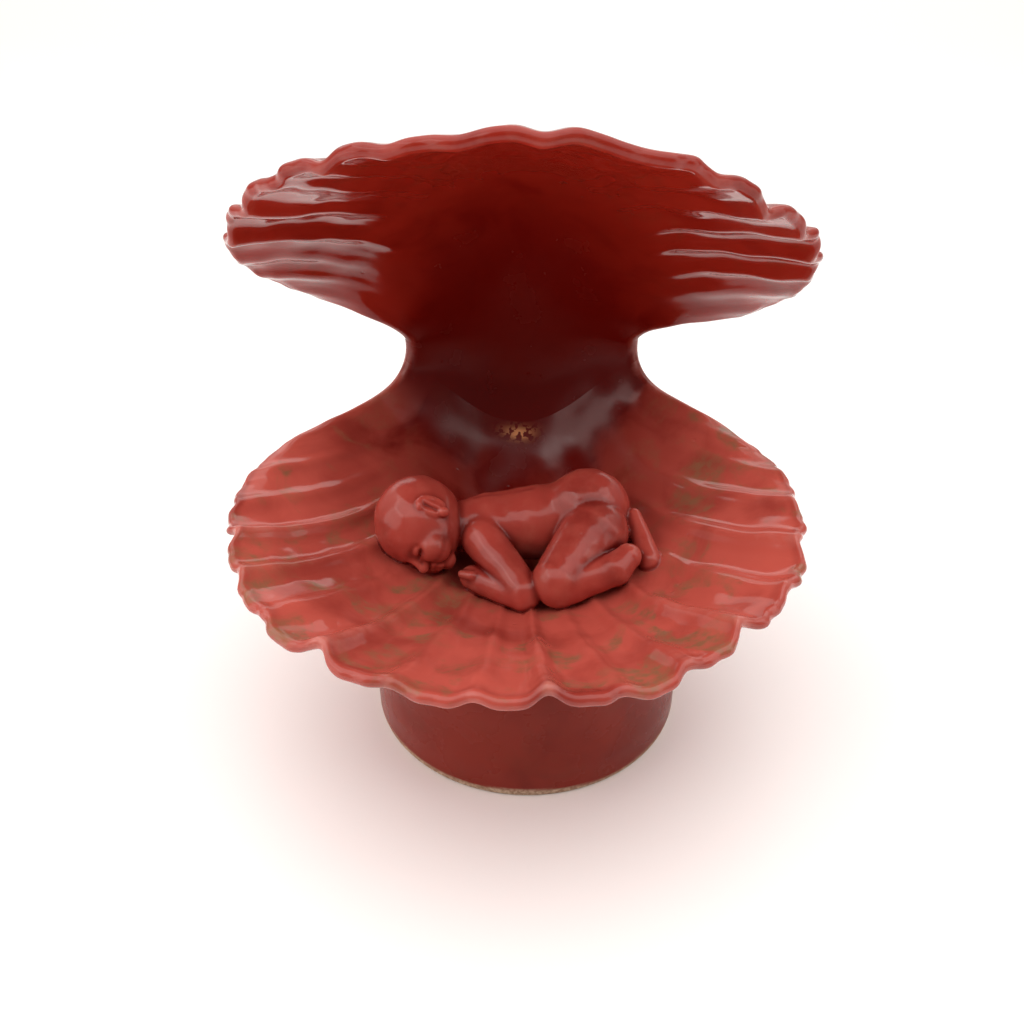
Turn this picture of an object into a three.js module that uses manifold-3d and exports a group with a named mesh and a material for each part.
// A hand-made glazed ceramic ornament: an open clamshell on a round thrown foot, with a
// small sleeping baby on the floor of the lower valve.
//
// Frame: millimetres, +Z up, the shell opens towards -Y, origin at the middle of the
// bounding box on the surface that the foot stands on.
//
// Each valve is a fan of ribs. Every rib is one cubic Bezier curve that leaves the narrow
// waist of the hourglass and ends on the rim, an ellipse tilted in space. Both rims come
// from one mould, so they share their semi-axes. Shallow flutes run along the ribs.

import * as THREE from 'three';
import { ParametricGeometry } from 'three/addons/geometries/ParametricGeometry.js';
import { mergeVertices } from 'three/addons/utils/BufferGeometryUtils.js';
import Module from 'manifold-3d';

const wasm = await Module();
wasm.setup();

// ---------------------------------------------------------------- driving dimensions

const GAP = 0.3;                  // glaze joint left between two touching pieces

const RIM_WALL = 3.6;             // clay thickness at the rim of a valve
const NECK_WALL = 7.2;            // clay thickness at the waist
const FLUTES = 18;                // flutes across one valve
const FLUTE_HEIGHT = 2.5;         // ridge between two flutes, at the rim
const FLUTE_SHARPNESS = 2.2;      // higher makes the ridges narrower
const FLUTE_PHASE = -2.3;         // degrees from the front to the middle of the first flute
const RIM_REACH = 120;            // degrees the rim runs each way from the front

const WAIST = { halfWidth: 37.2, x: 1.6, y: 72, z: 93, hollow: 8, pinch: 0.35 };

const LOWER = {
  up: -1, centre: new THREE.Vector3(-0.4, 8.4, 71.4), tilt: 0, roll: 0.7, turn: 0,
  side: 82.2, front: 84.8, rear: 73.4, squareness: 0.012,
  leave: [0.5, 0.4], arrive: [0.5, 0.35], slope: [30, 2],
};
const UPPER = {
  up: 1, centre: new THREE.Vector3(1.2, 38.3, 127.8), tilt: 38, roll: -3.1, turn: -3,
  side: 82.2, front: 88, rear: 76.4, squareness: 0.026,
  leave: [0.42, 0.12], arrive: [0.5, 0.35], slope: [22, 6],
};

// The hinge end of the upper valve is pressed onto the back of the lower one along a
// crescent: this far down the lower ribs in the middle, and less towards the sides.
const SEAM = { middle: 0.165, rise: 0.03 };

const FOOT = { x: 3, y: 2.4, radius: 48, wall: 5.6, height: 76, chamfer: 1.2 };

const COLUMNS = 72;               // facets across a valve, four to a flute
const ROWS = 8;                   // facets along a rib

// ---------------------------------------------------------------- shell surface

const degrees = THREE.MathUtils.degToRad;
const { lerp, smoothstep } = THREE.MathUtils;

/** Unit vectors of a valve: across, forward in the plane of its rim, and out of its bowl. */
function valveAxes(valve) {
  const tilt = degrees(valve.tilt);
  const forward = new THREE.Vector3(0, -Math.cos(tilt), Math.sin(tilt));
  const out = new THREE.Vector3(0, Math.sin(tilt), Math.cos(tilt)).multiplyScalar(valve.up);
  const across = new THREE.Vector3(1, 0, 0);
  for (const axis of [out, across]) axis.applyAxisAngle(forward, degrees(valve.roll));
  return { across, forward, out };
}

/** Height of the ridge between two flutes at u: 0 in the middle of a flute, 1 on the ridge. */
function ridge(valve, u) {
  const turns = (u * RIM_REACH + valve.turn - FLUTE_PHASE) * FLUTES / (2 * RIM_REACH);
  return Math.pow(0.5 - 0.5 * Math.cos(2 * Math.PI * turns), FLUTE_SHARPNESS);
}

/** Point of the rim at u, from -1 at the left corner, through 0 in front, to 1. */
function rimPoint(valve, axes, u) {
  const angle = degrees(u * RIM_REACH + valve.turn);
  const full = 1 - valve.squareness * Math.sin(2 * angle) ** 2;
  const reach = Math.cos(angle) > 0 ? valve.front : valve.rear;
  return valve.centre.clone()
    .addScaledVector(axes.across, valve.side * full * Math.sin(angle))
    .addScaledVector(axes.forward, reach * full * Math.cos(angle));
}

/** The inner surface of one valve: t runs along the rib from the waist, 0, to the rim, 1. */
function ribCurve(valve, u) {
  const axes = valveAxes(valve);
  const edge = Math.abs(u) ** 3;
  const end = rimPoint(valve, axes, u);
  const start = new THREE.Vector3(
    WAIST.x + WAIST.halfWidth * u, WAIST.y - WAIST.hollow * u * u, WAIST.z);
  const span = start.distanceTo(end);

  const leaving = start.clone();
  leaving.z += valve.up * span * lerp(...valve.leave, edge);
  leaving.x = lerp(WAIST.x, leaving.x, lerp(1 - WAIST.pinch, 1, edge));

  const focus = valve.centre.clone().addScaledVector(axes.forward, -8);
  const inward = focus.sub(end).normalize()
    .lerp(start.clone().sub(end).normalize(), edge).normalize();
  inward.addScaledVector(axes.out, -inward.dot(axes.out) * (1 - edge)).normalize();
  const slope = degrees(lerp(...valve.slope, edge));
  const arriving = end.clone()
    .addScaledVector(inward, Math.cos(slope) * span * lerp(...valve.arrive, edge))
    .addScaledVector(axes.out, Math.sin(slope) * span * lerp(...valve.arrive, edge));
  return new THREE.CubicBezierCurve3(start, leaving, arriving, end);
}

/** Point on the smooth inner surface. s is -1 on the lower rim, 0 at the waist, 1 above. */
function smoothPoint(u, s) {
  return ribCurve(s < 0 ? LOWER : UPPER, u).getPoint(Math.abs(s));
}

/** Unit normal of the smooth surface, pointing out of the shell. */
function outwardNormal(u, s) {
  const step = 0.004;
  const across = smoothPoint(u + step, s).sub(smoothPoint(u - step, s));
  const along = smoothPoint(u, s + step).sub(smoothPoint(u, s - step));
  return along.cross(across).normalize();
}

/** Clay thickness, thickest at the waist. */
function wall(s) {
  return lerp(NECK_WALL, RIM_WALL, smoothstep(Math.abs(s), 0, 0.5));
}

/** Point of the fluted shell, `depth` millimetres out from its inner surface. */
function shellPoint(u, s, depth) {
  const valve = s < 0 ? LOWER : UPPER;
  const flute = FLUTE_HEIGHT * ridge(valve, u) * smoothstep(Math.abs(s), 0.42, 0.97);
  return smoothPoint(u, s).addScaledVector(outwardNormal(u, s), depth - flute);
}

/** Where the crescent joint crosses the lower rib at u. */
function seam(u) {
  return -(SEAM.middle - SEAM.rise * u * u);
}

/** The same place, moved down the lower rib by the joint gap. */
function seamBelowGap(u) {
  const step = 0.01;
  const pace = smoothPoint(u, seam(u)).distanceTo(smoothPoint(u, seam(u) - step)) / step;
  return seam(u) - GAP / pace;
}

/**
 * A closed slab over the shell's ribs between first(u) and last(u). Station 0 to ROWS runs
 * along one face, the next one bulges over the lip, and the rest come back along the other
 * face. Both faces meet in one line at the two ends, u = -1 and u = 1.
 */
function slab(first, last, inner, outer, lip) {
  const stations = 2 * ROWS + 3;
  const flip = last(0) < 0;
  const geometry = new ParametricGeometry((a, b, target) => {
    const u = 2 * a - 1;
    const station = Math.round((flip ? 1 - b : b) * stations) % stations;
    const row = Math.min(station, stations - 1 - station);
    const s = lerp(first(u), last(u), Math.min(row, ROWS) / ROWS);
    if (a === 0 || a === 1) {
      target.copy(inner(u, s)).lerp(outer(u, s), 0.5);
    } else if (row > ROWS) {
      target.copy(inner(u, s)).lerp(outer(u, s), 0.5).add(lip(u, s));
    } else {
      target.copy(station <= ROWS ? inner(u, s) : outer(u, s));
    }
  }, COLUMNS, stations);
  return closed(geometry);
}

// ---------------------------------------------------------------- mesh helpers

/** Merges a geometry's corners, drops collapsed triangles and returns it as a solid. */
function closed(geometry) {
  geometry.deleteAttribute('normal');
  geometry.deleteAttribute('uv');
  const merged = mergeVertices(geometry, 1e-4);
  const corners = merged.index.array;
  const triangles = [];
  for (let i = 0; i < corners.length; i += 3) {
    const [a, b, c] = corners.slice(i, i + 3);
    if (a !== b && b !== c && c !== a) triangles.push(a, b, c);
  }
  return new wasm.Manifold(new wasm.Mesh({
    numProp: 3,
    vertProperties: new Float32Array(merged.attributes.position.array),
    triVerts: new Uint32Array(triangles),
  }));
}

/** Turns a solid into a named mesh with its own glaze. */
function piece(name, solid, colour, roughness) {
  const { vertProperties, triVerts } = solid.getMesh();
  const geometry = new THREE.BufferGeometry();
  geometry.setAttribute('position', new THREE.BufferAttribute(vertProperties, 3));
  geometry.setIndex(new THREE.BufferAttribute(triVerts, 1));
  geometry.computeVertexNormals();
  const material = new THREE.MeshStandardMaterial({ color: colour, roughness, metalness: 0 });
  const mesh = new THREE.Mesh(geometry, material);
  mesh.name = name;
  return mesh;
}

// ---------------------------------------------------------------- the two valves

const inside = (u, s) => shellPoint(u, s, 0);
const outside = (u, s) => shellPoint(u, s, wall(s));

/** How far the rounded lip bulges past the rim: along the rib, by half the wall. */
function lipBulge(u, s) {
  const step = 0.01 * Math.sign(s);
  return smoothPoint(u, s).sub(smoothPoint(u, s - step)).setLength(RIM_WALL / 2);
}

const lowerValve = slab(seamBelowGap, () => -1, inside, outside, lipBulge);
const upperValve = slab(seam, () => 1, inside, outside, lipBulge);

// ---------------------------------------------------------------- the thrown foot

const DEPTH_OF_CUT = 150;
const UP = new THREE.Vector3(0, 0, DEPTH_OF_CUT);

/** Everything above the underside of the lower valve, less the joint gap. */
const overUnderside = slab(
  seamBelowGap, () => -1,
  (u, s) => shellPoint(u, s, wall(s) + GAP).add(UP), (u, s) => shellPoint(u, s, wall(s) + GAP),
  () => new THREE.Vector3());

function footRing() {
  const inner = FOOT.radius - FOOT.wall;
  const profile = [
    [inner, 0], [FOOT.radius - FOOT.chamfer, 0], [FOOT.radius, FOOT.chamfer],
    [FOOT.radius, FOOT.height], [inner, FOOT.height], [inner, 0],
  ].map(([r, z]) => new THREE.Vector2(r, z));
  const ring = new THREE.LatheGeometry(profile, 56);
  ring.rotateX(Math.PI / 2).translate(FOOT.x, FOOT.y, 0);
  return closed(ring);
}

const foot = footRing().subtract(overUnderside);

// ---------------------------------------------------------------- the sleeping baby

/** Everything under the floor of the lower valve, and the joint gap above it. */
const underFloor = slab(
  seamBelowGap, () => -1,
  (u, s) => shellPoint(u, s, -GAP), (u, s) => shellPoint(u, s, -GAP).sub(UP),
  () => new THREE.Vector3());

/** An egg-shaped lump: half lengths along, across and over, with its long axis to `aim`. */
function lump(centre, half, aim = [1, 0, 0]) {
  const ball = new THREE.SphereGeometry(1, 14, 9);
  ball.scale(...half);
  const turn = new THREE.Quaternion().setFromUnitVectors(
    new THREE.Vector3(1, 0, 0), new THREE.Vector3(...aim).normalize());
  ball.applyQuaternion(turn).translate(...centre);
  return closed(ball);
}

/** A round-ended limb between two joints. */
function limb(from, to, radius) {
  const start = new THREE.Vector3(...from);
  const along = new THREE.Vector3(...to).sub(start);
  const rod = new THREE.CapsuleGeometry(radius, along.length(), 3, 10);
  const turn = new THREE.Quaternion().setFromUnitVectors(
    new THREE.Vector3(0, 1, 0), along.clone().normalize());
  rod.applyQuaternion(turn).translate(...start.addScaledVector(along, 0.5));
  return closed(rod);
}

const HEAD = { centre: [-30.2, 8.8, 60.2], half: [13.4, 13.6, 13.6] };
const CHEST = { centre: [-3, 14, 55], half: [15.5, 11.4, 11] };
const HIPS = { centre: [21.5, 14, 60.8], half: [13.6, 12.4, 14] };
const SHOULDER = [-10.5, 5, 56.6];
const ELBOW = [1.8, -12.2, 50];
const HAND = [-13.4, -4.8, 48.8];
const HIP = [23, 4, 59.5];
const KNEE = [11.5, -11.8, 53.2];
const HEEL = [29, -10, 57.2];
const FAR_HEEL = [35.2, 10.2, 61];
const FAR_TOES = [39, -3.5, 55.2];

const baby = [
  lump(HEAD.centre, HEAD.half),
  lump(CHEST.centre, CHEST.half),
  lump(HIPS.centre, HIPS.half),
  limb([-20, 11.5, 56.5], CHEST.centre, 8.4),
  limb(CHEST.centre, HIPS.centre, 11.4),
  limb(SHOULDER, ELBOW, 5.8),
  limb(ELBOW, HAND, 4.8),
  limb(HIP, KNEE, 8.8),
  limb([12.5, -12.8, 52.4], HEEL, 5.6),
  limb(HEEL, [32.4, -7.4, 59], 4.6),
  limb(HIPS.centre, FAR_HEEL, 4.8),
  limb(FAR_HEEL, FAR_TOES, 3.4),
].reduce((body, part) => body.add(part)).subtract(underFloor);

// ---------------------------------------------------------------- assembly

const ornament = new THREE.Group();
ornament.add(
  piece('foot', foot, 0x7a2e24, 0.28),
  piece('lower_valve', lowerValve, 0xa84a3c, 0.22),
  piece('upper_valve', upperValve, 0x7c241a, 0.22),
  piece('sleeping_baby', baby, 0xa8483c, 0.2),
);

const box = new THREE.Box3().setFromObject(ornament);
const middle = box.getCenter(new THREE.Vector3());
ornament.position.set(-middle.x, -middle.y, -box.min.z);
ornament.updateMatrixWorld(true);

export default ornament;
